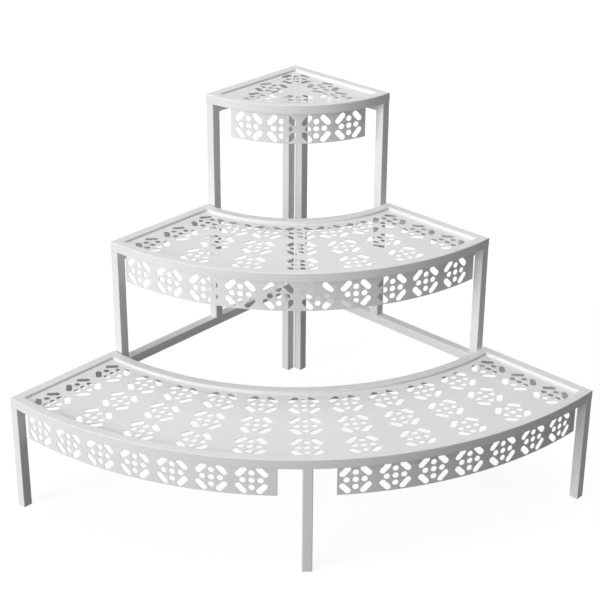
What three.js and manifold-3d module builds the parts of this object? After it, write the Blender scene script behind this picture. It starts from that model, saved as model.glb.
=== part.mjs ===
// A three-tier corner plant stand in square steel tube and perforated sheet.
//
// Millimetres, +Z up. The origin is on the floor under the middle of the stand's box. The stand faces -Y
// and its square back corner points to +Y. Everything is drawn in a corner frame, which has its origin in
// the back corner: the left side runs along its +x, the right side along its +y, and every arc is centred
// on its origin.

import * as THREE from "three";
import { mergeVertices } from "three/addons/utils/BufferGeometryUtils.js";
import Module from "manifold-3d";

const wasm = await Module();
wasm.setup();

// Shelves: the straight side of each one from the back corner, and the height of its rim's top.
const TOP_SIDE = 246;
const MIDDLE_SIDE = 494;
const BOTTOM_SIDE = 740;
const TOP_HEIGHT = 675;
const MIDDLE_HEIGHT = 450;
const BOTTOM_HEIGHT = 225;
const TIER_GAP = 4; // from the end of one shelf's side to the inner rim of the shelf below

// Stock.
const TUBE = 18; // square tube of the frames and rims, outside
const WALL = 1.2; // wall of the tube
const SHEET = 1.2; // panels and aprons
const PANEL_RECESS = 5; // from the rim's top down to the panel

// Clearances.
const WELD_GAP = 0.3; // between two pieces that are welded edge to edge
const SEAT_GAP = 0.3; // round a plug in its tube
const SCREW_GAP = 0.4; // round a screw or stud in its hole
const POST_GAP = 0.6; // between the corners of the two back posts, along each side

// Punched motif: four slots round a square.
const SLOT_LENGTH = 25;
const SLOT_WIDTH = 11;
const SLOT_OFFSET = 18; // from the motif's centre to a slot's centre, each way
const WEB = 1.5; // least metal between a motif and the edge of its sheet

// Motifs on the panels.
const ROW_INSET = 48; // from the shelf's front edge to the first row
const ROW_PITCH = 69;
const COLUMN_INSET = 58.4; // from the shelf's straight side to the end columns
const COLUMN_PITCH = 97; // along the first row
const TOP_ROW_PITCH = 62;
const TOP_FAN = THREE.MathUtils.degToRad(21.4); // between neighbours on the top panel

// Aprons, which hang from the inner edge of the front rims.
const APRON_DROP = 64; // below the rim
const APRON_ROW = 35; // from the rim down to the motifs' centres
const APRON_PITCH = 69.5;
const TOP_APRON_PITCH = 65;
const APRON_MARGIN = 36; // from the apron's end to its first motif's centre, at least
const APRON_SQUASH = 0.92; // the apron's motifs are this much lower than wide
const MIDDLE_APRON_SHIFT = 8.5; // of the motifs, from the apron's middle towards the left side
const BOTTOM_APRON_SHIFT = 6.5;
const TOP_APRON_INSET = 44; // from the straight side to the apron's end
const MIDDLE_APRON_INSET = 21;
const BOTTOM_APRON_INSET = 24;
const LEG_CLEARANCE = 41; // from the front leg to the bottom shelf's two aprons

// Plugs, feet and screws.
const FOOT_THICKNESS = 2;
const PLUG_LENGTH = 12;
const STUD_LENGTH = 10;
const SCREW_RADIUS = 3;
const SCREW_GRIP = 6; // how far a screw stands into the rim
const SCREW_INSET = 26; // from the end of the rim on its rail to the screw
const HEAD_RADIUS = 5;
const HEAD_HEIGHT = 3;

// Drawing.
const SAGITTA = 0.3; // how far a chord may stray from its arc
const ROUND_SIDES = 8;
const RIGHT_ANGLE = Math.PI / 2;

const tiers = {
  top: { name: "top", side: TOP_SIDE, height: TOP_HEIGHT, inner: 0 },
  middle: { name: "middle", side: MIDDLE_SIDE, height: MIDDLE_HEIGHT, inner: TOP_SIDE + TIER_GAP },
  bottom: { name: "bottom", side: BOTTOM_SIDE, height: BOTTOM_HEIGHT, inner: MIDDLE_SIDE + TIER_GAP },
};

// The two back posts stand beside the corner, so that each clears the other.
const POST_START = TUBE + POST_GAP;

const finishes = {
  coat: { color: 0xe9e9e5, roughness: 0.42, metalness: 0.0 },
  plastic: { color: 0xdededa, roughness: 0.6, metalness: 0.0 },
  zinc: { color: 0xb9bcc0, roughness: 0.35, metalness: 0.9 },
};

function named(name, geometry, finish) {
  const mesh = new THREE.Mesh(geometry, new THREE.MeshStandardMaterial(finishes[finish]));
  mesh.name = name;
  return mesh;
}

function toSolid(geometry) {
  const bare = geometry.clone();
  bare.deleteAttribute("normal");
  bare.deleteAttribute("uv");
  const merged = mergeVertices(bare, 1e-5);
  return new wasm.Manifold(
    new wasm.Mesh({
      numProp: 3,
      vertProperties: new Float32Array(merged.attributes.position.array),
      triVerts: new Uint32Array(merged.index.array),
    }),
  );
}

function toGeometry(solid) {
  const mesh = solid.getMesh();
  const geometry = new THREE.BufferGeometry();
  geometry.setAttribute("position", new THREE.BufferAttribute(mesh.vertProperties, 3));
  geometry.setIndex(new THREE.BufferAttribute(mesh.triVerts, 1));
  geometry.computeVertexNormals();
  return geometry;
}

function cutAll(geometry, cutters) {
  const cut = cutters.reduce((solid, cutter) => solid.subtract(toSolid(cutter)), toSolid(geometry));
  return toGeometry(cut);
}

// ---- Outlines ----

function arc(radius, from, to) {
  const chord = Math.sqrt(8 * radius * SAGITTA);
  const steps = 2 * Math.ceil((radius * Math.abs(to - from)) / chord / 2);
  return Array.from({ length: steps + 1 }, (_, i) => {
    const angle = from + ((to - from) * i) / steps;
    return new THREE.Vector2(radius * Math.cos(angle), radius * Math.sin(angle));
  });
}

// A quarter ring whose arcs stop at their own distance from the two straight sides.
function quarterRing(inner, innerOffset, outer, outerOffset) {
  const innerFrom = Math.asin(innerOffset / inner);
  const outerFrom = Math.asin(outerOffset / outer);
  return [
    ...arc(outer, outerFrom, RIGHT_ANGLE - outerFrom),
    ...arc(inner, RIGHT_ANGLE - innerFrom, innerFrom),
  ];
}

function rectangle(left, bottom, right, top) {
  return [
    new THREE.Vector2(left, bottom),
    new THREE.Vector2(right, bottom),
    new THREE.Vector2(right, top),
    new THREE.Vector2(left, top),
  ];
}

function prism(outline, low, high, holes = []) {
  const shape = new THREE.Shape(outline);
  shape.holes = holes.map((hole) => new THREE.Path(hole));
  const geometry = new THREE.ExtrudeGeometry(shape, { depth: high - low, bevelEnabled: false });
  return geometry.translate(0, 0, low);
}

// A slot with pointed ends, which stand for round ones.
function slot(centre, angle) {
  const reach = (SLOT_LENGTH - SLOT_WIDTH) / 2;
  const points = [];
  for (const end of [1, -1]) {
    for (const turn of [-RIGHT_ANGLE, 0, RIGHT_ANGLE]) {
      const x = end * (reach + (SLOT_WIDTH / 2) * Math.cos(turn));
      const y = (end * SLOT_WIDTH * Math.sin(turn)) / 2;
      points.push(new THREE.Vector2(x, y).rotateAround(new THREE.Vector2(), angle).add(centre));
    }
  }
  return points;
}

function motif(squash = 1) {
  const slots = [];
  for (const x of [-SLOT_OFFSET, SLOT_OFFSET]) {
    for (const y of [-SLOT_OFFSET * squash, SLOT_OFFSET * squash]) {
      slots.push(slot(new THREE.Vector2(x, y), Math.atan2(x, -y)));
    }
  }
  return slots;
}

const MOTIF_REACH = Math.max(...motif().flat().map((point) => point.x));

// ---- Side frames ----

const SECTION = rectangle(-TUBE / 2, -TUBE / 2, TUBE / 2, TUBE / 2);
const BORE = rectangle(WALL - TUBE / 2, WALL - TUBE / 2, TUBE / 2 - WALL, TUBE / 2 - WALL);

function upright(name, x, y, low, high) {
  const mesh = named(name, prism(SECTION, 0, high - low, [BORE]), "coat");
  mesh.position.set(x, y, low);
  return mesh;
}

function holeCutter(x, y, low, high) {
  const cutter = new THREE.CylinderGeometry(
    SCREW_RADIUS + SCREW_GAP, SCREW_RADIUS + SCREW_GAP, high - low, ROUND_SIDES,
  );
  return cutter.rotateX(RIGHT_ANGLE).translate(x, y, (low + high) / 2);
}

// A rail between two uprights, drilled up and down for its screws. It lies along x, and its top is at z.
function rail(name, from, to, y, top, screws) {
  const start = from + WELD_GAP;
  const tube = prism(SECTION, 0, to - WELD_GAP - start, [BORE]).rotateY(RIGHT_ANGLE);
  const drills = screws.map((x) => holeCutter(x - start, 0, -TUBE, TUBE));
  const mesh = named(name, cutAll(tube, drills), "coat");
  mesh.position.set(start, y, top - TUBE / 2);
  return mesh;
}

function foot(name, x, y) {
  const half = TUBE / 2;
  const plug = half - WALL - SEAT_GAP;
  const profile = [
    [0, 0],
    [half, 0],
    [half, FOOT_THICKNESS],
    [plug, FOOT_THICKNESS],
    [plug, FOOT_THICKNESS + PLUG_LENGTH],
    [0, FOOT_THICKNESS + PLUG_LENGTH],
  ].map(([flat, z]) => new THREE.Vector2(flat * Math.SQRT2, z));
  const geometry = new THREE.LatheGeometry(profile, 4).rotateX(RIGHT_ANGLE).rotateZ(Math.PI / 4);
  const mesh = named(name, geometry, "plastic");
  mesh.position.set(x, y, 0);
  return mesh;
}

// Where the screws of a tier go, from the back corner along its side.
function screwPlaces(tier) {
  const from = Math.max(tier.inner, POST_START + TUBE);
  return [from + SCREW_INSET, tier.side - TUBE - SCREW_INSET];
}

function screw(name, x, y, railTop) {
  const profile = [
    [0, -HEAD_HEIGHT],
    [HEAD_RADIUS, -HEAD_HEIGHT],
    [HEAD_RADIUS, 0],
    [SCREW_RADIUS, 0],
    [SCREW_RADIUS, TUBE + WALL + SCREW_GRIP],
    [0, TUBE + WALL + SCREW_GRIP],
  ].map(([radius, z]) => new THREE.Vector2(radius, z));
  const mesh = named(name, new THREE.LatheGeometry(profile, ROUND_SIDES).rotateX(RIGHT_ANGLE), "zinc");
  mesh.position.set(x, y, railTop - TUBE);
  return mesh;
}

// A side frame lies along its group's x. Its tubes are on the side that inward points to.
function sideFrame(side, inward) {
  const frame = new THREE.Group();
  const { top, middle, bottom } = tiers;
  const y = (inward * TUBE) / 2;
  const post = POST_START + TUBE / 2;
  const stand = (tier) => tier.height - TUBE;
  frame.add(
    foot(`${side}_back_foot`, post, y),
    upright(`${side}_back_post`, post, y, FOOT_THICKNESS, stand(top)),
    rail(`${side}_top_rail`, POST_START + TUBE, top.side - TUBE, y, stand(top), screwPlaces(top)),
    upright(`${side}_top_leg`, top.side - TUBE / 2, y, stand(bottom), stand(top)),
    rail(`${side}_middle_rail`, top.side, middle.side - TUBE, y, stand(middle), screwPlaces(middle)),
    upright(`${side}_middle_leg`, middle.side - TUBE / 2, y, stand(bottom), stand(middle)),
    rail(`${side}_bottom_rail`, POST_START + TUBE, bottom.side - TUBE, y, stand(bottom), screwPlaces(bottom)),
    upright(`${side}_bottom_leg`, bottom.side - TUBE / 2, y, FOOT_THICKNESS, stand(bottom)),
    foot(`${side}_front_foot`, bottom.side - TUBE / 2, y),
  );
  for (const tier of [top, middle, bottom]) {
    const [back, front] = screwPlaces(tier);
    frame.add(
      screw(`${side}_${tier.name}_screw_back`, back, y, stand(tier)),
      screw(`${side}_${tier.name}_screw_front`, front, y, stand(tier)),
    );
  }
  return frame;
}

// ---- Front leg ----

// It stands on the line between the two sides, with its front face flush with the rim's.
function frontLeg() {
  const leg = new THREE.Group();
  const top = BOTTOM_HEIGHT - TUBE;
  const radius = BOTTOM_SIDE - TUBE / 2;
  const plugWidth = TUBE - 2 * (WALL + SEAT_GAP);
  const plug = new THREE.BoxGeometry(plugWidth, plugWidth, PLUG_LENGTH).translate(0, 0, -PLUG_LENGTH / 2);
  const overlap = PLUG_LENGTH / 2;
  const stud = new THREE.CylinderGeometry(
    SCREW_RADIUS, SCREW_RADIUS, STUD_LENGTH + overlap, ROUND_SIDES,
  ).rotateX(RIGHT_ANGLE).translate(0, 0, (STUD_LENGTH - overlap) / 2);
  const insert = named("front_leg_insert", toGeometry(toSolid(plug).add(toSolid(stud))), "zinc");
  insert.position.set(radius, 0, top);
  leg.add(
    foot("front_leg_foot", radius, 0),
    upright("front_leg", radius, 0, FOOT_THICKNESS, top),
    insert,
  );
  leg.rotation.z = Math.PI / 4;
  return leg;
}

// ---- Shelf rims ----

// Mitred pieces each give up this much of their length at the joint.
const MITRE = WELD_GAP / Math.SQRT2;

// The plan of the straight rim along x, from the back corner or the inner rim to the front rim.
function straightPlan(tier) {
  const frontInside = Math.sqrt((tier.side - TUBE) ** 2 - TUBE ** 2);
  const backInside = tier.inner ? Math.sqrt((tier.inner + TUBE) ** 2 - TUBE ** 2) : TUBE;
  return [
    new THREE.Vector2(tier.inner + MITRE, 0),
    new THREE.Vector2(tier.side - MITRE, 0),
    new THREE.Vector2(frontInside - MITRE, TUBE),
    new THREE.Vector2(backInside + MITRE, TUBE),
  ];
}

function hollow(plan, borePlan, drills) {
  const bore = prism(borePlan, WALL, TUBE - WALL);
  return cutAll(prism(plan, 0, TUBE), [bore, ...drills]);
}

// The right side of a shelf is its left side with x and y exchanged.
function mirrored(points) {
  return points.map((point) => new THREE.Vector2(point.y, point.x)).reverse();
}

function straightRim(tier, side) {
  const face = side === "right" ? mirrored : (points) => points;
  const bore = rectangle(tier.inner - TUBE, WALL, tier.side + TUBE, TUBE - WALL);
  const places = face(screwPlaces(tier).map((x) => new THREE.Vector2(x, TUBE / 2)));
  const drills = places.map((place) => holeCutter(place.x, place.y, -WALL, 2 * WALL));
  const mesh = named(`${tier.name}_rim_${side}`, hollow(face(straightPlan(tier)), face(bore), drills), "coat");
  mesh.position.z = tier.height - TUBE;
  return mesh;
}

function frontRim(tier) {
  const inside = tier.side - TUBE;
  const plan = quarterRing(inside, TUBE + MITRE, tier.side, MITRE);
  const bore = quarterRing(inside + WALL, -TUBE, tier.side - WALL, -TUBE);
  const middle = (tier.side - TUBE / 2) * Math.SQRT1_2;
  const drills = tier === tiers.bottom ? [holeCutter(middle, middle, -WALL, 2 * WALL)] : [];
  const mesh = named(`${tier.name}_rim_front`, hollow(plan, bore, drills), "coat");
  mesh.position.z = tier.height - TUBE;
  return mesh;
}

function innerRim(tier) {
  const outside = tier.inner + TUBE;
  const plan = quarterRing(tier.inner, MITRE, outside, TUBE + MITRE);
  const bore = quarterRing(tier.inner + WALL, -TUBE, outside - WALL, -TUBE);
  const mesh = named(`${tier.name}_rim_inner`, hollow(plan, bore, []), "coat");
  mesh.position.z = tier.height - TUBE;
  return mesh;
}

// ---- Panels ----

const PANEL_EDGE = TUBE + WELD_GAP;

function panelPlan(tier) {
  const outer = tier.side - PANEL_EDGE;
  if (tier.inner) return quarterRing(tier.inner + PANEL_EDGE, PANEL_EDGE, outer, PANEL_EDGE);
  const from = Math.asin(PANEL_EDGE / outer);
  return [new THREE.Vector2(PANEL_EDGE, PANEL_EDGE), ...arc(outer, from, RIGHT_ANGLE - from)];
}

function polar(radius, angle) {
  return { radius, angle };
}

// Rows of motifs follow the front edge, and the end motifs of each row line up with the straight sides.
function ringMotifs(tier) {
  const first = tier.side - ROW_INSET;
  const last = tier.inner + PANEL_EDGE + MOTIF_REACH;
  const rows = 1 + Math.floor((first - last) / ROW_PITCH);
  const sweep = (radius) => RIGHT_ANGLE - 2 * Math.asin(COLUMN_INSET / radius);
  const gaps = Math.round((first * sweep(first)) / COLUMN_PITCH);
  const places = [];
  for (let row = 0; row < rows; row += 1) {
    const radius = first - row * ROW_PITCH;
    for (let column = 0; column <= gaps; column += 1) {
      places.push(polar(radius, Math.PI / 4 + sweep(radius) * (column / gaps - 0.5)));
    }
  }
  return places;
}

// One, two and three motifs, fanned out from the back corner.
function fanMotifs(tier) {
  const first = tier.side - ROW_INSET;
  return [
    polar(first - 2 * TOP_ROW_PITCH, Math.PI / 4),
    polar(first - TOP_ROW_PITCH, Math.PI / 4 - TOP_FAN),
    polar(first - TOP_ROW_PITCH, Math.PI / 4 + TOP_FAN),
    polar(first, Math.PI / 4 - TOP_FAN),
    polar(first, Math.PI / 4),
    polar(first, Math.PI / 4 + TOP_FAN),
  ];
}

// A motif is punched only where it leaves a web of metal along the rims.
function onPanel(tier, { radius, angle }) {
  const room = PANEL_EDGE + MOTIF_REACH + WEB;
  const sides = Math.min(radius * Math.cos(angle), radius * Math.sin(angle));
  return sides > room && radius > tier.inner + room - WEB;
}

function panel(tier) {
  const places = (tier.inner ? ringMotifs(tier) : fanMotifs(tier)).filter((place) => onPanel(tier, place));
  const cutters = places.flatMap(({ radius, angle }) =>
    motif().map((hole) => prism(hole, -SHEET, 2 * SHEET).translate(radius, 0, 0).rotateZ(angle)),
  );
  const mesh = named(`${tier.name}_panel`, cutAll(prism(panelPlan(tier), 0, SHEET), cutters), "coat");
  mesh.position.z = tier.height - PANEL_RECESS - SHEET;
  return mesh;
}

// ---- Aprons ----

// A curved strip under the inner edge of a front rim, from one angle to another. Its motifs stand off its
// middle by the shift.
function apron(name, tier, from, to, pitch, shift) {
  const inside = tier.side - TUBE;
  const outside = inside + SHEET;
  const strip = prism([...arc(outside, from, to), ...arc(inside, to, from)], -APRON_DROP, 0);
  const room = (to - from) * outside - 2 * APRON_MARGIN;
  const gaps = Math.max(1, Math.floor(room / pitch));
  const cutters = [];
  for (let i = 0; i <= gaps; i += 1) {
    const angle = (from + to) / 2 + ((i - gaps / 2) * pitch - shift) / outside;
    const out = new THREE.Vector3(Math.cos(angle), Math.sin(angle), 0);
    const along = new THREE.Vector3(-out.y, out.x, 0);
    const place = new THREE.Matrix4()
      .makeBasis(along, new THREE.Vector3(0, 0, 1), out)
      .setPosition(out.x * inside, out.y * inside, -APRON_ROW);
    cutters.push(...motif(APRON_SQUASH).map((hole) => prism(hole, -TUBE, TUBE).applyMatrix4(place)));
  }
  const mesh = named(name, cutAll(strip, cutters), "coat");
  mesh.position.z = tier.height - TUBE;
  return mesh;
}

function spanningApron(tier, inset, pitch, shift) {
  const from = Math.asin(inset / (tier.side - TUBE));
  return apron(`${tier.name}_apron`, tier, from, RIGHT_ANGLE - from, pitch, shift);
}

function bottomAprons(tier) {
  const inside = tier.side - TUBE;
  const end = Math.asin(BOTTOM_APRON_INSET / inside);
  const half = Math.PI / 4;
  const middle = Math.asin((TUBE / 2 + LEG_CLEARANCE) / inside);
  return [
    apron("bottom_apron_left", tier, end, half - middle, APRON_PITCH, BOTTOM_APRON_SHIFT),
    apron("bottom_apron_right", tier, half + middle, RIGHT_ANGLE - end, APRON_PITCH, BOTTOM_APRON_SHIFT),
  ];
}

// ---- Assembly ----

function shelf(tier, aprons) {
  const group = new THREE.Group();
  group.add(straightRim(tier, "left"), straightRim(tier, "right"), frontRim(tier));
  if (tier.inner) group.add(innerRim(tier));
  group.add(panel(tier), ...aprons);
  return group;
}

const leftFrame = sideFrame("left", 1);
const rightFrame = sideFrame("right", -1);
rightFrame.rotation.z = RIGHT_ANGLE;

const corner = new THREE.Group();
corner.add(
  leftFrame,
  rightFrame,
  frontLeg(),
  shelf(tiers.top, [spanningApron(tiers.top, TOP_APRON_INSET, TOP_APRON_PITCH, 0)]),
  shelf(tiers.middle, [spanningApron(tiers.middle, MIDDLE_APRON_INSET, APRON_PITCH, MIDDLE_APRON_SHIFT)]),
  shelf(tiers.bottom, bottomAprons(tiers.bottom)),
);
corner.rotation.z = Math.PI + Math.PI / 4;
corner.position.y = BOTTOM_SIDE / 2;

const plantStand = new THREE.Group();
plantStand.add(corner);

export default plantStand;
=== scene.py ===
import math

import bmesh
import bpy
from mathutils import Matrix, Vector


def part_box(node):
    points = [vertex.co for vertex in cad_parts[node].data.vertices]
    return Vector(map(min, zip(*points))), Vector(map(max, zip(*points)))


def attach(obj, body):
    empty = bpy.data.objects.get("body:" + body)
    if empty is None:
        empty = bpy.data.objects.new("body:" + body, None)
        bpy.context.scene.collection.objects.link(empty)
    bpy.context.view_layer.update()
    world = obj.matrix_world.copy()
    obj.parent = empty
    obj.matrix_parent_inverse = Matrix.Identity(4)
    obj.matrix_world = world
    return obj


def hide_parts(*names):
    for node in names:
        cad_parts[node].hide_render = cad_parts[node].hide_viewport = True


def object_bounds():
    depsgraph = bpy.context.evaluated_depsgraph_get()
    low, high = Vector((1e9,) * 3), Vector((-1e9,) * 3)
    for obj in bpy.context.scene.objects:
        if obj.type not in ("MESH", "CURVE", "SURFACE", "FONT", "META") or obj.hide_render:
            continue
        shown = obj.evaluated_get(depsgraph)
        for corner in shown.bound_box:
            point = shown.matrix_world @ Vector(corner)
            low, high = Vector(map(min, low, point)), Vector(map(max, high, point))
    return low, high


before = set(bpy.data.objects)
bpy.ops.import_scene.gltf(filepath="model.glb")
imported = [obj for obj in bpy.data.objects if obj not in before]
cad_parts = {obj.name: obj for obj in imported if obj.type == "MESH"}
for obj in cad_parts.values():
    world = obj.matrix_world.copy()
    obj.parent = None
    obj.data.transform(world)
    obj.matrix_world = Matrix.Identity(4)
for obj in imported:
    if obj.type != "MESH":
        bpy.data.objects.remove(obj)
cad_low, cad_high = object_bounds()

# A three-tier corner plant stand: square steel tube and perforated sheet under a white powder coat.
# Metres. The stand's corner frame has its origin under the back corner, u along the left side and v along
# the right side. Every arc is centred on the back corner.

TIERS = ("top", "middle", "bottom")
FRAME_TUBES = ("back_post", "top_rail", "top_leg", "middle_rail", "middle_leg", "bottom_rail", "bottom_leg")

CORNER = Vector((0, -cad_low.y, 0))
LEFT = Vector((-1, -1, 0)).normalized()
RIGHT = Vector((1, -1, 0)).normalized()
UP = Vector((0, 0, 1))
QUARTER = math.pi / 2

# Tube
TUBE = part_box("front_leg")[1].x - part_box("front_leg")[0].x
TUBE_RADIUS = 0.0014  # outside corner
TUBE_WALL = 0.0012
FILLET_STEPS = 4
ARC_STEP = math.radians(1.5)
SMOOTH_ANGLE = 30  # degrees between faces, beyond which an edge stays sharp
WELD_REACH = TUBE_RADIUS  # how far a rail's end runs into the rounded corner of the leg that it is welded to

# Sheet
SHEET = 0.0012
SHEET_EDGE = 0.0003  # rounding of a punched edge
EDGE_STEPS = 1
MERGE_REACH = 1e-6  # points closer than this become one
CUT_REACH = 1e-7  # points closer than this to a cut lie on it
APRON_ROOT = TUBE_RADIUS  # how far an apron stands up into the rim's rounded lower corner
APRON_STRIP = 0.006  # flat strips that a bent apron is made of

# Punched motif: four slots round a cross of five holes
SLOT_LENGTH = 0.0245
SLOT_WIDTH = 0.0108
SLOT_OFFSET = 0.018
DOT_RADIUS = 0.0054
DOT_PITCH = 0.0155
ROUND_STEPS = 20

# Motifs on the panels
ROW_INSET = 0.048
ROW_PITCH = 0.069
ROWS = 3
COLUMN_INSET = 0.0584
COLUMNS = {"middle": 7, "bottom": 11}
TOP_ROW_PITCH = 0.062
TOP_FAN = math.radians(21.4)

# Motifs on the aprons
APRON_ROW = 0.035
APRON_SQUASH = 0.92
APRON_COUNT = {"top": 4, "middle": 10, "bottom": 7}
APRON_PITCH = {"top": 0.065, "middle": 0.0695, "bottom": 0.0695}
APRON_SHIFT = {"top": 0, "middle": 0.0085, "bottom": 0.0065}  # of the motifs, towards the left side

# Feet
FLANGE = 0.002
FLANGE_EDGE = 0.0005
FOOT_DISH = 0.0007  # hollow of the underside
FOOT_RING = 0.0036  # width of the flat that the foot stands on
PLUG_PLAY = 0.0003
FOOT_CORNER = 0.0006  # least corner radius
RIBS = 4
RIB_DEPTH = 0.0006
RIB_PROFILE = ((0.3, 0), (0.45, 1), (0.7, 1), (1, 0))  # (share of the ribs' pitch, share of their depth)

# Screws and the front leg's stud
SCREW_SIDES = 24
SHANK_RADIUS = 0.003
HEAD_RADIUS = 0.005
HEAD_HEIGHT = 0.003
HEAD_FLAT = 0.0026  # radius of the flat round the socket
HEAD_EDGE = 0.0004
DOME_STEPS = 6
SOCKET_REACH = 0.0017  # from the socket's centre to each of its six sides
SOCKET_DEPTH = 0.0016
THREAD_PITCH = 0.001
THREAD_DEPTH = 0.0004
THREAD_RINGS = 3  # in each turn of the thread
INSERT_DEPTH = 0.012
INSERT_EDGE = 0.0008

# Weld beads
BEAD_LEG = 0.0021
BEAD_START = 0.0024  # from the tube's side to the bead's end
BEAD_ROOT = 0.0004  # how far a bead runs into the tubes
BEAD_SECTION = ((1, 0), (0.8, 0.36), (0.58, 0.58), (0.36, 0.8), (0, 1))  # shares of the leg
BEAD_STEPS = 12
BEAD_RIPPLE = 0.07
BEAD_END = 0.6  # how much of a step the bead's ends are cut back by
BEAD_TAPER = 0.3  # power of the swell along the bead: the lower, the fuller its ends
BEAD_SMOOTH_ANGLE = 50  # degrees

# Materials
COAT_COLOUR = (0.80, 0.80, 0.785)
COAT_SHADE = 0.965  # the darkest drift of the coat's tone
FOOT_COLOUR = (0.78, 0.78, 0.765)
FOOT_SHADE = 0.93
ZINC_DARK = (0.52, 0.53, 0.55)
ZINC_BRIGHT = (0.68, 0.69, 0.71)
ZINC_STRETCH = 0.08  # of the grain along the shank
NOISE_SPAN = (0.3, 0.7)  # where nearly all of a noise's values lie

# Camera, from the back corner
CAMERA_PLACE = CORNER + Vector((-0.0965, -2.8335, 1.5774))
CAMERA_YAW = 0.0382
CAMERA_PITCH = -0.4057
CAMERA_ROLL = 0.0071
CAMERA_LENS = 88.9  # millimetres
CAMERA_SHIFT = -0.15

# Light and floor
SUN_ANGLE = math.radians(40)
FILL = 0.05  # the world's strength for all but the camera, reflections and glass
FLOOR_REACH = 12
FLOOR_TONE = 0.2
FLOOR_GLOW = ((0.6, 0.86), (2.4, 0.97))  # white glow seen by the camera, as (distance from the stand's middle, strength): backdrop white near the stand, and painted light in its rise with distance, making up for the lamps' light that falls off far from the stand


# ---- Measures of the frame ----

def corner_frame(point):
    """A point of the frame as (u, v, z) in the corner frame."""
    from_corner = point - CORNER
    return Vector((from_corner.dot(LEFT), from_corner.dot(RIGHT), point.z))


def from_corner(u, v, z):
    return CORNER + LEFT * u + RIGHT * v + UP * z


def extent(node):
    """Lowest and highest (u, v, z) of a CAD node."""
    points = [corner_frame(vertex.co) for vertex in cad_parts[node].data.vertices]
    low = Vector([min(point[i] for point in points) for i in range(3)])
    high = Vector([max(point[i] for point in points) for i in range(3)])
    return low, high


def radii(node):
    """Least and greatest distance of a CAD node's vertices from the corner's axis."""
    lengths = [(vertex.co - CORNER).xy.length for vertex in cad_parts[node].data.vertices]
    return min(lengths), max(lengths)


def tier_sizes(name):
    """(side, height, inner radius or 0) of a shelf."""
    _, side = radii(f"{name}_rim_front")
    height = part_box(f"{name}_rim_front")[1].z
    inner = 0 if name == "top" else radii(f"{name}_rim_inner")[0]
    return side, height, inner


# ---- Mesh building ----

def square_loop(size, inset, radius):
    """Points round a square with rounded corners, from (inset, inset) to (size - inset, size - inset)."""
    near, far = inset + radius, size - inset - radius
    corners = ((far, near, -QUARTER), (far, far, 0), (near, far, QUARTER), (near, near, 2 * QUARTER))
    points = []
    for x, y, start in corners:
        for step in range(FILLET_STEPS + 1):
            angle = start + QUARTER * step / FILLET_STEPS
            points.append((x + radius * math.cos(angle), y + radius * math.sin(angle)))
    return points


OUTER_LOOP = square_loop(TUBE, 0, TUBE_RADIUS)
INNER_LOOP = square_loop(TUBE, TUBE_WALL, TUBE_RADIUS - TUBE_WALL)


def finish_piece(name, mesh, material, nodes, smooth_angle=SMOOTH_ANGLE):
    """Makes the mesh a piece with its material, which rides on the body in place of its CAD nodes."""
    mesh.validate()
    mesh.shade_smooth()
    mesh.set_sharp_from_angle(angle=math.radians(smooth_angle))
    piece = bpy.data.objects.new(name, mesh)
    bpy.context.scene.collection.objects.link(piece)
    weighted = piece.modifiers.new("weighted_normals", "WEIGHTED_NORMAL")
    weighted.keep_sharp = True
    mesh.materials.append(material)
    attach(piece, "root")
    if nodes:
        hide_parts(*nodes)


def hollow_mesh(name, outer_rings, inner_rings):
    """A tube wall from rings of points along it. It has an outside, a bore and two flat ring ends."""
    bm = bmesh.new()
    outer = [[bm.verts.new(point) for point in ring] for ring in outer_rings]
    inner = [[bm.verts.new(point) for point in ring] for ring in inner_rings]
    count = len(outer[0])
    for rings, flip in ((outer, False), (inner, True)):
        for here, there in zip(rings, rings[1:]):
            for i in range(count):
                j = (i + 1) % count
                face = [here[i], here[j], there[j], there[i]]
                bm.faces.new(reversed(face) if flip else face)
    for end in (0, -1):
        for i in range(count):
            j = (i + 1) % count
            bm.faces.new([outer[end][i], outer[end][j], inner[end][j], inner[end][i]])
    bmesh.ops.recalc_face_normals(bm, faces=bm.faces)
    mesh = bpy.data.meshes.new(name)
    bm.to_mesh(mesh)
    bm.free()
    return mesh


def loops_between(place, stations):
    """Outer and inner rings: place(station, s, t) puts a section point at a station."""
    return [
        [[place(station, s, t) for s, t in loop] for station in stations]
        for loop in (OUTER_LOOP, INNER_LOOP)
    ]


# ---- Straight tubes of the side frames ----

def frame_tube(node, material):
    low, high = extent(node)
    size = high - low
    upright = size.z > 2 * TUBE
    if upright:
        outer, inner = loops_between(lambda z, s, t: from_corner(low.x + s, low.y + t, z), (low.z, high.z))
    elif size.x > size.y:
        ends = (low.x - WELD_REACH, high.x + WELD_REACH)
        outer, inner = loops_between(lambda u, s, t: from_corner(u, low.y + s, low.z + t), ends)
    else:
        ends = (low.y - WELD_REACH, high.y + WELD_REACH)
        outer, inner = loops_between(lambda v, s, t: from_corner(low.x + s, v, low.z + t), ends)
    finish_piece(f"{node}_tube", hollow_mesh(node, outer, inner), material, [node])


def front_leg(material):
    """The loose leg under the bottom rim, square to the front."""
    node = "front_leg"
    low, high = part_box(node)
    outer, inner = loops_between(lambda z, s, t: Vector((low.x + s, low.y + t, z)), (low.z, high.z))
    finish_piece(f"{node}_tube", hollow_mesh(node, outer, inner), material, [node])


# ---- Rims ----

def side_point(side, along, across, z):
    """A point along the left or right side, and across it towards the middle."""
    return from_corner(along, across, z) if side == "left" else from_corner(across, along, z)


def straight_rim(tier, side, material):
    size, height, inner_radius = tier_sizes(tier)
    base = height - TUBE

    def place(end, s, t):
        # Each line of the tube ends where it meets the same line of the front or inner arc.
        if end == "front":
            along = math.sqrt((size - s) ** 2 - s**2)
        elif inner_radius:
            along = math.sqrt((inner_radius + s) ** 2 - s**2)
        else:
            along = s
        return side_point(side, along, s, base + t)

    outer, inner = loops_between(place, ("back", "front"))
    node = f"{tier}_rim_{side}"
    finish_piece(f"{node}_tube", hollow_mesh(node, outer, inner), material, [node])


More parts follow.
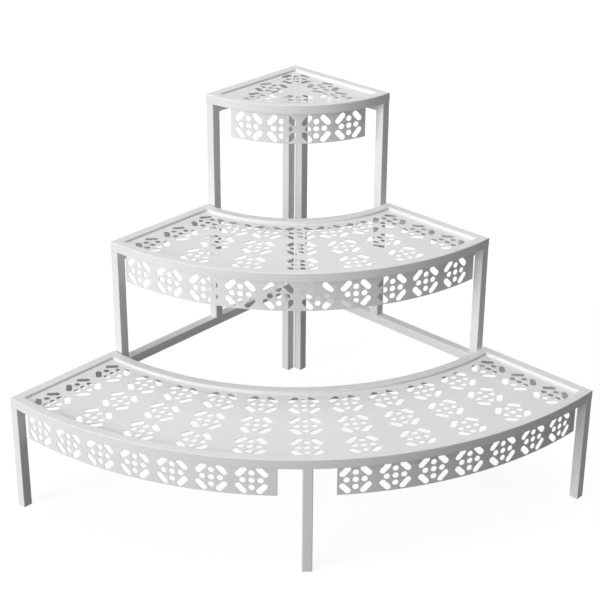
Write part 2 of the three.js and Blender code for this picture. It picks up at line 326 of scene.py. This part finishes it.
def arc_rim(tier, which, material):
    size, height, inner_radius = tier_sizes(tier)
    base = height - TUBE
    stations = math.ceil(QUARTER / ARC_STEP)

    def place(station, s, t):
        radius = size - s if which == "front" else inner_radius + s
        start = math.asin(s / radius)
        angle = start + (QUARTER - 2 * start) * station / stations
        return from_corner(radius * math.cos(angle), radius * math.sin(angle), base + t)

    outer, inner = loops_between(place, range(stations + 1))
    node = f"{tier}_rim_{which}"
    finish_piece(f"{node}_tube", hollow_mesh(node, outer, inner), material, [node])


# ---- Perforated sheet ----

def turned(point, angle):
    x, y = point
    return x * math.cos(angle) - y * math.sin(angle), x * math.sin(angle) + y * math.cos(angle)


def circle(x, y, radius):
    turns = [2 * math.pi * i / ROUND_STEPS for i in range(ROUND_STEPS)]
    return [(x + radius * math.cos(turn), y + radius * math.sin(turn)) for turn in turns]


def slot_outline(x, y, angle):
    """A slot with round ends, centred on (x, y)."""
    reach = (SLOT_LENGTH - SLOT_WIDTH) / 2
    half = ROUND_STEPS // 2
    points = []
    for end, start in ((reach, -QUARTER), (-reach, QUARTER)):
        for step in range(half + 1):
            turn = start + math.pi * step / half
            point = (end + SLOT_WIDTH / 2 * math.cos(turn), SLOT_WIDTH / 2 * math.sin(turn))
            points.append(turned(point, angle))
    return [(x + px, y + py) for px, py in points]


def motif(squash=1):
    """The outlines of one motif about its centre."""
    outlines = [circle(0, 0, DOT_RADIUS)]
    for side in (-1, 1):
        outlines.append(circle(side * DOT_PITCH, 0, DOT_RADIUS))
        outlines.append(circle(0, side * DOT_PITCH * squash, DOT_RADIUS))
        for end in (-1, 1):
            x, y = side * SLOT_OFFSET, end * SLOT_OFFSET * squash
            outlines.append(slot_outline(x, y, math.atan2(x, -y)))
    return outlines


def sheet_mesh(name, outline, holes):
    """A flat sheet about z = 0 with rounded edges, from its outline and its holes."""
    curve = bpy.data.curves.new(name, "CURVE")
    curve.dimensions = "2D"
    curve.fill_mode = "BOTH"
    curve.extrude = SHEET / 2 - SHEET_EDGE
    curve.bevel_depth = SHEET_EDGE
    curve.bevel_resolution = EDGE_STEPS
    curve.offset = -SHEET_EDGE
    for points in (outline, *holes):
        spline = curve.splines.new("POLY")
        spline.points.add(len(points) - 1)
        for spline_point, (x, y) in zip(spline.points, points):
            spline_point.co = (x, y, 0, 1)
        spline.use_cyclic_u = True
    holder = bpy.data.objects.new(name, curve)
    bpy.context.scene.collection.objects.link(holder)
    bpy.context.view_layer.update()
    evaluated = holder.evaluated_get(bpy.context.evaluated_depsgraph_get())
    mesh = bpy.data.meshes.new_from_object(evaluated)
    bpy.data.objects.remove(holder)
    bpy.data.curves.remove(curve)
    return mesh


def welded(mesh, move, cuts=()):
    """Joins the sheet's faces up, cuts it across at each x in cuts, and moves every point."""
    bm = bmesh.new()
    bm.from_mesh(mesh)
    bmesh.ops.remove_doubles(bm, verts=bm.verts, dist=MERGE_REACH)
    for x in cuts:
        bmesh.ops.bisect_plane(
            bm, geom=bm.verts[:] + bm.edges[:] + bm.faces[:], dist=CUT_REACH,
            plane_co=(x, 0, 0), plane_no=(1, 0, 0),
        )
    for vertex in bm.verts:
        vertex.co = move(vertex.co)
    bmesh.ops.recalc_face_normals(bm, faces=bm.faces)
    bm.to_mesh(mesh)
    bm.free()
    return mesh


def arc_points(radius, start, end):
    steps = max(2, math.ceil(abs(end - start) / ARC_STEP))
    turns = [start + (end - start) * i / steps for i in range(steps + 1)]
    return [(radius * math.cos(turn), radius * math.sin(turn)) for turn in turns]


def panel_outline(size, inner_radius):
    """The opening inside a shelf's rim, in (u, v)."""
    outer = size - TUBE
    start = math.asin(TUBE / outer)
    points = arc_points(outer, start, QUARTER - start)
    if not inner_radius:
        return [(TUBE, TUBE), *points]
    inner = inner_radius + TUBE
    inner_start = math.asin(TUBE / inner)
    return points + arc_points(inner, QUARTER - inner_start, inner_start)


def motif_places(tier, size):
    """(radius, angle from the left side) of each motif on a panel."""
    first = size - ROW_INSET
    middle = QUARTER / 2
    if tier == "top":
        second, third = first - TOP_ROW_PITCH, first - 2 * TOP_ROW_PITCH
        return [
            (third, middle),
            (second, middle - TOP_FAN), (second, middle + TOP_FAN),
            (first, middle - TOP_FAN), (first, middle), (first, middle + TOP_FAN),
        ]
    places = []
    for row in range(ROWS):
        radius = first - row * ROW_PITCH
        sweep = QUARTER - 2 * math.asin(COLUMN_INSET / radius)
        gaps = COLUMNS[tier] - 1
        places += [(radius, middle + sweep * (i / gaps - 0.5)) for i in range(gaps + 1)]
    return places


def panel(tier, material):
    size, _, inner_radius = tier_sizes(tier)
    holes = []
    for radius, angle in motif_places(tier, size):
        for outline in motif():
            holes.append([turned((x + radius, y), angle) for x, y in outline])
    node = f"{tier}_panel"
    low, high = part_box(node)
    middle = (low.z + high.z) / 2
    flat = sheet_mesh(node, panel_outline(size, inner_radius), holes)
    mesh = welded(flat, lambda co: from_corner(co.x, co.y, middle + co.z))
    finish_piece(f"{node}_sheet", mesh, material, [node])


def apron(node, tier, material):
    """A strip with one row of motifs, bent round the corner's axis."""
    points = [corner_frame(vertex.co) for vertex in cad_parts[node].data.vertices]
    angles = [math.atan2(point.y, point.x) for point in points]
    start, end = min(angles), max(angles)
    low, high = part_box(node)
    radius = sum(radii(node)) / 2
    half = (end - start) * radius / 2
    top, bottom = APRON_ROOT, low.z - high.z
    outline = [(-half, bottom), (half, bottom), (half, top), (-half, top)]
    holes = []
    count, pitch = APRON_COUNT[tier], APRON_PITCH[tier]
    for i in range(count):
        along = (i - (count - 1) / 2) * pitch - APRON_SHIFT[tier]
        holes += [[(x + along, y - APRON_ROW) for x, y in ring] for ring in motif(APRON_SQUASH)]
    strips = math.ceil(2 * half / APRON_STRIP)
    cuts = [half * (2 * i / strips - 1) for i in range(1, strips)]
    centre = (start + end) / 2

    def bend(co):
        angle = centre + co.x / radius
        reach = radius + co.z
        return from_corner(reach * math.cos(angle), reach * math.sin(angle), high.z + co.y)

    mesh = welded(sheet_mesh(node, outline, holes), bend, cuts)
    finish_piece(f"{node}_sheet", mesh, material, [node])


# ---- Feet, screws and insert ----

def capped_mesh(name, shells):
    """Closed shells, each from rings of points with a cap on its first and its last."""
    bm = bmesh.new()
    for rings in shells:
        loops = [[bm.verts.new(point) for point in ring] for ring in rings]
        count = len(loops[0])
        for here, there in zip(loops, loops[1:]):
            for i in range(count):
                j = (i + 1) % count
                bm.faces.new([here[i], here[j], there[j], there[i]])
        bm.faces.new(loops[0])
        bm.faces.new(loops[-1])
    bmesh.ops.recalc_face_normals(bm, faces=bm.faces)
    mesh = bpy.data.meshes.new(name)
    bm.to_mesh(mesh)
    bm.free()
    return mesh


def foot(node, material):
    """A moulded cap: a dished underside, a flange as wide as the tube, and a ribbed plug inside it."""
    box_low, box_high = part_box(node)
    if node == "front_leg_foot":
        def place(s, t, z):
            return Vector((box_low.x + s, box_low.y + t, z))
    else:
        low, _ = extent(node)

        def place(s, t, z):
            return from_corner(low.x + s, low.y + t, z)

    plug = TUBE_WALL + PLUG_PLAY
    steps = [
        (FOOT_RING + FOOT_DISH, FOOT_DISH),
        (FOOT_RING, 0),
        (FLANGE_EDGE, 0),
        (0, FLANGE_EDGE),
        (0, FLANGE - FLANGE_EDGE),
        (FLANGE_EDGE, FLANGE),
        (plug + RIB_DEPTH, FLANGE),
    ]
    pitch = (box_high.z - FLANGE) / RIBS
    for rib in range(RIBS):
        base = FLANGE + rib * pitch
        steps += [(plug + RIB_DEPTH * (1 - rise), base + share * pitch) for share, rise in RIB_PROFILE]
    rings = []
    for inset, z in steps:
        loop = square_loop(TUBE, inset, max(TUBE_RADIUS - inset, FOOT_CORNER))
        rings.append([place(s, t, z) for s, t in loop])
    finish_piece(f"{node}_cap", capped_mesh(node, [rings]), material, [node])


def round_ring(centre, z, radius_at):
    """A ring about a point, with its radius from the direction."""
    turns = [2 * math.pi * i / SCREW_SIDES for i in range(SCREW_SIDES)]
    return [
        Vector((centre.x + radius_at(turn) * math.cos(turn), centre.y + radius_at(turn) * math.sin(turn), z))
        for turn in turns
    ]


def even(radius):
    """The same radius in every direction."""
    return lambda turn: radius


def hexagon(turn):
    """Distance from the socket's centre to its side in a direction."""
    return SOCKET_REACH / math.cos((turn + math.pi / 6) % (math.pi / 3) - math.pi / 6)


def thread(z):
    """The thread's radius at a height, from the direction."""
    def radius_at(turn):
        phase = (z / THREAD_PITCH - turn / (2 * math.pi)) % 1
        return SHANK_RADIUS - THREAD_DEPTH * abs(2 * phase - 1)

    return radius_at


def thread_rings(centre, low, high):
    """Rings of a threaded rod that ends in a chamfer."""
    rings = []
    count = round((high - low - THREAD_PITCH) / THREAD_PITCH * THREAD_RINGS)
    for i in range(count + 1):
        z = low + i * THREAD_PITCH / THREAD_RINGS
        rings.append(round_ring(centre, z, thread(z)))
    rings.append(round_ring(centre, high, even(SHANK_RADIUS - 2 * THREAD_DEPTH)))
    return rings


def screw(node, material):
    """A button-head screw: hexagonal socket, domed head and threaded shank. Its head is at the bottom."""
    low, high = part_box(node)
    centre = (low + high) / 2
    rings = [
        round_ring(centre, low.z + SOCKET_DEPTH, hexagon),
        round_ring(centre, low.z, hexagon),
        round_ring(centre, low.z, even(HEAD_FLAT)),
    ]
    for step in range(1, DOME_STEPS + 1):
        turn = QUARTER * step / DOME_STEPS
        radius = HEAD_FLAT + (HEAD_RADIUS - HEAD_FLAT) * math.sin(turn)
        z = low.z + (HEAD_HEIGHT - HEAD_EDGE) * (1 - math.cos(turn))
        rings.append(round_ring(centre, z, even(radius)))
    seat = low.z + HEAD_HEIGHT
    rings.append(round_ring(centre, seat, even(HEAD_RADIUS)))
    rings += thread_rings(centre, seat, high.z)
    finish_piece(f"{node}_body", capped_mesh(node, [rings]), material, [node])


def insert(material):
    """The square nut in the top of the front leg, and its stud."""
    node = "front_leg_insert"
    low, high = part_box(node)
    width = high.x - low.x
    face = low.z + INSERT_DEPTH
    steps = [(INSERT_EDGE, low.z), (0, low.z + INSERT_EDGE), (0, face - INSERT_EDGE), (INSERT_EDGE, face)]
    rings = []
    for inset, z in steps:
        loop = square_loop(width, inset, 2 * INSERT_EDGE)
        rings.append([Vector((low.x + s, low.y + t, z)) for s, t in loop])
    stud = thread_rings((low + high) / 2, face - THREAD_PITCH, high.z)
    finish_piece(f"{node}_body", capped_mesh(node, [rings, stud]), material, [node])


# ---- Weld beads ----

def bead(side, along, z, out, up):
    """Rings of a fillet bead across the tube, in the corner between an upright's face and a rail's.

    out and up, each 1 or -1, point along the side and in height, away from the two faces."""
    length = TUBE - 2 * BEAD_START
    rings = []
    for step in range(BEAD_STEPS + 1):
        swell = math.sin(math.pi * (step + BEAD_END) / (BEAD_STEPS + 2 * BEAD_END)) ** BEAD_TAPER
        reach = BEAD_LEG * swell * (1 + BEAD_RIPPLE * (-1) ** step)
        across = BEAD_START + length * step / BEAD_STEPS
        outline = [(-BEAD_ROOT, -BEAD_ROOT), (reach, -BEAD_ROOT)]
        outline += [(x * reach, y * reach) for x, y in BEAD_SECTION]
        outline.append((-BEAD_ROOT, reach))
        rings.append([side_point(side, along + out * x, across, z + up * y) for x, y in outline])
    return rings


def welds(side, material):
    """The beads of a side frame, one wherever a rail or leg ends on another tube."""
    post = extent(f"{side}_back_post")[1]
    post_end = post.x if side == "left" else post.y
    top, middle, bottom = (tier_sizes(tier) for tier in TIERS)
    top_rail, middle_rail, bottom_rail = (height - TUBE for _, height, _ in (top, middle, bottom))
    seams = [
        (post_end, top_rail - TUBE, 1, -1),
        (top[0] - TUBE, top_rail - TUBE, -1, -1),
        (top[0], middle_rail, 1, 1),
        (top[0], middle_rail - TUBE, 1, -1),
        (middle[0] - TUBE, middle_rail - TUBE, -1, -1),
        (post_end, bottom_rail, 1, 1),
        (post_end, bottom_rail - TUBE, 1, -1),
        (bottom[0] - TUBE, bottom_rail - TUBE, -1, -1),
    ]
    for size, _, _ in (top, middle):
        seams += [(size - TUBE, bottom_rail, -1, 1), (size, bottom_rail, 1, 1)]
    name = f"{side}_frame_welds"
    mesh = capped_mesh(name, [bead(side, *seam) for seam in seams])
    finish_piece(name, mesh, material, [], smooth_angle=BEAD_SMOOTH_ANGLE)


# ---- Materials ----

def new_material(name):
    """A material with its tree, its shader and the object's coordinates."""
    material = bpy.data.materials.new(name)
    material.use_nodes = True
    tree = material.node_tree
    coordinates = tree.nodes.new("ShaderNodeTexCoord").outputs["Object"]
    return material, tree, tree.nodes["Principled BSDF"], coordinates


def noise(tree, coordinates, scale, detail=2.0, roughness=0.5):
    node = tree.nodes.new("ShaderNodeTexNoise")
    node.inputs["Scale"].default_value = scale
    node.inputs["Detail"].default_value = detail
    node.inputs["Roughness"].default_value = roughness
    tree.links.new(coordinates, node.inputs["Vector"])
    return node.outputs["Fac"]


def ramp(tree, value, low, high):
    """A noise's value as a number from low to high."""
    node = tree.nodes.new("ShaderNodeMapRange")
    node.inputs["From Min"].default_value, node.inputs["From Max"].default_value = NOISE_SPAN
    node.inputs["To Min"].default_value = low
    node.inputs["To Max"].default_value = high
    tree.links.new(value, node.inputs["Value"])
    return node.outputs["Result"]


def drifting_colour(tree, shader, value, dark, bright):
    """A base colour between dark and bright, as the noise goes."""
    mix = tree.nodes.new("ShaderNodeMix")
    mix.data_type = "RGBA"
    mix.inputs["A"].default_value = (*dark, 1)
    mix.inputs["B"].default_value = (*bright, 1)
    tree.links.new(ramp(tree, value, 0, 1), mix.inputs["Factor"])
    tree.links.new(mix.outputs["Result"], shader.inputs["Base Color"])


def relief(tree, shader, height, strength, distance):
    """A bump of the noise's height."""
    bump = tree.nodes.new("ShaderNodeBump")
    bump.inputs["Strength"].default_value = strength
    bump.inputs["Distance"].default_value = distance
    tree.links.new(height, bump.inputs["Height"])
    tree.links.new(bump.outputs["Normal"], shader.inputs["Normal"])


def shaded(colour, shade):
    return [part * shade for part in colour]


def powder_coat(name):
    """A satin powder coat: faint orange peel, and tone that drifts a little over a hand's breadth."""
    material, tree, shader, coordinates = new_material(name)
    drift = noise(tree, coordinates, scale=7, detail=3)
    drifting_colour(tree, shader, drift, shaded(COAT_COLOUR, COAT_SHADE), COAT_COLOUR)
    sheen = ramp(tree, noise(tree, coordinates, scale=60), low=0.36, high=0.46)
    tree.links.new(sheen, shader.inputs["Roughness"])
    peel = noise(tree, coordinates, scale=620, roughness=0.55)
    relief(tree, shader, peel, strength=0.12, distance=0.0002)
    return material


def plastic(name):
    """Moulded plastic with a fine spark-eroded grain."""
    material, tree, shader, coordinates = new_material(name)
    flow = noise(tree, coordinates, scale=90, detail=3)
    drifting_colour(tree, shader, flow, shaded(FOOT_COLOUR, FOOT_SHADE), FOOT_COLOUR)
    tree.links.new(ramp(tree, flow, low=0.5, high=0.62), shader.inputs["Roughness"])
    relief(tree, shader, noise(tree, coordinates, scale=2600), strength=0.25, distance=0.0001)
    return material


def zinc_plate(name):
    """Bright zinc plating: patchy sheen and a faint drawn grain along the shank."""
    material, tree, shader, coordinates = new_material(name)
    shader.inputs["Metallic"].default_value = 1
    patches = noise(tree, coordinates, scale=420, detail=3)
    drifting_colour(tree, shader, patches, ZINC_DARK, ZINC_BRIGHT)
    tree.links.new(ramp(tree, patches, low=0.22, high=0.38), shader.inputs["Roughness"])
    stretch = tree.nodes.new("ShaderNodeMapping")
    stretch.inputs["Scale"].default_value = (1, 1, ZINC_STRETCH)
    tree.links.new(coordinates, stretch.inputs["Vector"])
    grain = noise(tree, stretch.outputs["Vector"], scale=3000)
    relief(tree, shader, grain, strength=0.2, distance=0.00005)
    return material


# ---- Stage: camera, lights and floor ----

def make_camera():
    camera = bpy.data.cameras.new("camera")
    camera.lens = CAMERA_LENS
    camera.sensor_width = 36
    camera.shift_y = CAMERA_SHIFT
    camera.clip_start = 0.05
    camera.clip_end = 100
    holder = bpy.data.objects.new("camera", camera)
    bpy.context.scene.collection.objects.link(holder)
    turn = (
        Matrix.Rotation(-CAMERA_YAW, 4, "Z")
        @ Matrix.Rotation(QUARTER + CAMERA_PITCH, 4, "X")
        @ Matrix.Rotation(CAMERA_ROLL, 4, "Z")
    )
    holder.matrix_world = Matrix.Translation(CAMERA_PLACE) @ turn
    bpy.context.scene.camera = holder


def area_light(name, place, target, size, power):
    light = bpy.data.lights.new(name, "AREA")
    light.shape = "RECTANGLE"
    light.size, light.size_y = size
    light.energy = power
    holder = bpy.data.objects.new(name, light)
    holder.location = place
    holder.rotation_euler = (Vector(target) - Vector(place)).to_track_quat("-Z", "Y").to_euler()
    bpy.context.scene.collection.objects.link(holder)


def sun_light(name, direction, tone, shadow):
    """A wide sun without sheen: it lights a white face square to it to the tone."""
    light = bpy.data.lights.new(name, "SUN")
    light.energy = tone * math.pi
    light.angle = SUN_ANGLE
    light.use_shadow = shadow
    holder = bpy.data.objects.new(name, light)
    holder.visible_glossy = False
    holder.rotation_euler = Vector(direction).to_track_quat("-Z", "Y").to_euler()
    bpy.context.scene.collection.objects.link(holder)


def seen_directly(tree):
    """1 for a ray from the camera or one that it sends on by a reflection or through glass, otherwise 0."""
    path = tree.nodes.new("ShaderNodeLightPath")
    value = path.outputs["Is Camera Ray"]
    for ray in ("Is Glossy Ray", "Is Transmission Ray"):
        either = tree.nodes.new("ShaderNodeMath")
        either.operation = "MAXIMUM"
        tree.links.new(value, either.inputs[0])
        tree.links.new(path.outputs[ray], either.inputs[1])
        value = either.outputs["Value"]
    return value


def make_world():
    """White to the camera and in reflections, and a dim even fill to everything else."""
    world = bpy.data.worlds.new("studio")
    bpy.context.scene.world = world
    world.use_nodes = True
    tree = world.node_tree
    background = tree.nodes["Background"]
    strength = tree.nodes.new("ShaderNodeMapRange")
    strength.inputs["To Min"].default_value = FILL
    strength.inputs["To Max"].default_value = 1
    tree.links.new(seen_directly(tree), strength.inputs["Value"])
    tree.links.new(strength.outputs["Result"], background.inputs["Strength"])


def make_floor():
    """A white floor, which shows a faint shadow near the stand and none far from it. Its glow rises with
    distance from the stand: painted light that makes up for the lamps' light falling off there.
    """
    bm = bmesh.new()
    bmesh.ops.create_grid(bm, x_segments=1, y_segments=1, size=FLOOR_REACH)
    mesh = bpy.data.meshes.new("floor")
    bm.to_mesh(mesh)
    bm.free()
    floor = bpy.data.objects.new("floor", mesh)
    bpy.context.scene.collection.objects.link(floor)
    material = bpy.data.materials.new("floor")
    material.use_nodes = True
    tree = material.node_tree
    tree.nodes.clear()
    diffuse = tree.nodes.new("ShaderNodeBsdfDiffuse")
    diffuse.inputs["Color"].default_value = (FLOOR_TONE, FLOOR_TONE, FLOOR_TONE, 1)
    distance = tree.nodes.new("ShaderNodeVectorMath")
    distance.operation = "LENGTH"
    tree.links.new(tree.nodes.new("ShaderNodeTexCoord").outputs["Object"], distance.inputs[0])
    # painted light: the glow's strength rises with distance from the stand, standing in for the lamps' light
    # that falls off far away
    painted_light_by_distance = tree.nodes.new("ShaderNodeMapRange")
    for end, (reach, strength) in zip(("Min", "Max"), FLOOR_GLOW):
        painted_light_by_distance.inputs[f"From {end}"].default_value = reach
        painted_light_by_distance.inputs[f"To {end}"].default_value = strength
    tree.links.new(distance.outputs["Value"], painted_light_by_distance.inputs["Value"])
    seen = tree.nodes.new("ShaderNodeMath")
    seen.operation = "MULTIPLY"
    tree.links.new(painted_light_by_distance.outputs["Result"], seen.inputs[0])
    tree.links.new(seen_directly(tree), seen.inputs[1])
    glow = tree.nodes.new("ShaderNodeEmission")
    tree.links.new(seen.outputs["Value"], glow.inputs["Strength"])
    glow.inputs["Color"].default_value = (1, 1, 1, 1)
    add = tree.nodes.new("ShaderNodeAddShader")
    tree.links.new(diffuse.outputs["BSDF"], add.inputs[0])
    tree.links.new(glow.outputs["Emission"], add.inputs[1])
    output = tree.nodes.new("ShaderNodeOutputMaterial")
    tree.links.new(add.outputs["Shader"], output.inputs["Surface"])
    mesh.materials.append(material)


# ---- Assembly ----

coat = powder_coat("powder_coat")
sheet_coat = powder_coat("sheet_powder_coat")
foot_plastic = plastic("foot_plastic")
zinc = zinc_plate("zinc_plate")

for side in ("left", "right"):
    for tube in FRAME_TUBES:
        frame_tube(f"{side}_{tube}", coat)
    welds(side, coat)
    foot(f"{side}_back_foot", foot_plastic)
    foot(f"{side}_front_foot", foot_plastic)
    for tier in TIERS:
        screw(f"{side}_{tier}_screw_back", zinc)
        screw(f"{side}_{tier}_screw_front", zinc)
front_leg(coat)
foot("front_leg_foot", foot_plastic)
insert(zinc)

for tier in TIERS:
    straight_rim(tier, "left", coat)
    straight_rim(tier, "right", coat)
    arc_rim(tier, "front", coat)
    if tier != "top":
        arc_rim(tier, "inner", coat)
    panel(tier, sheet_coat)

APRONS = (
    ("top_apron", "top"),
    ("middle_apron", "middle"),
    ("bottom_apron_left", "bottom"),
    ("bottom_apron_right", "bottom"),
)
for node, tier in APRONS:
    apron(node, tier, sheet_coat)

make_camera()
make_world()
make_floor()
area_light("key", (-3.8, -2.0, 1.2), (0, 0, 0.35), (1.4, 1.0), 72)
area_light("top", (0, 0, 3.1), (0, 0, 0.3), (2.4, 2.4), 48)
sun_light("left_sun", (1, 1, -0.5), 0.49, shadow=True)
sun_light("top_wash", (0, 0, -1), 0.15, shadow=False)
sun_light("back_wash", (0, -1, 0), 0.45, shadow=False)
bpy.context.scene.view_settings.view_transform = "Standard"
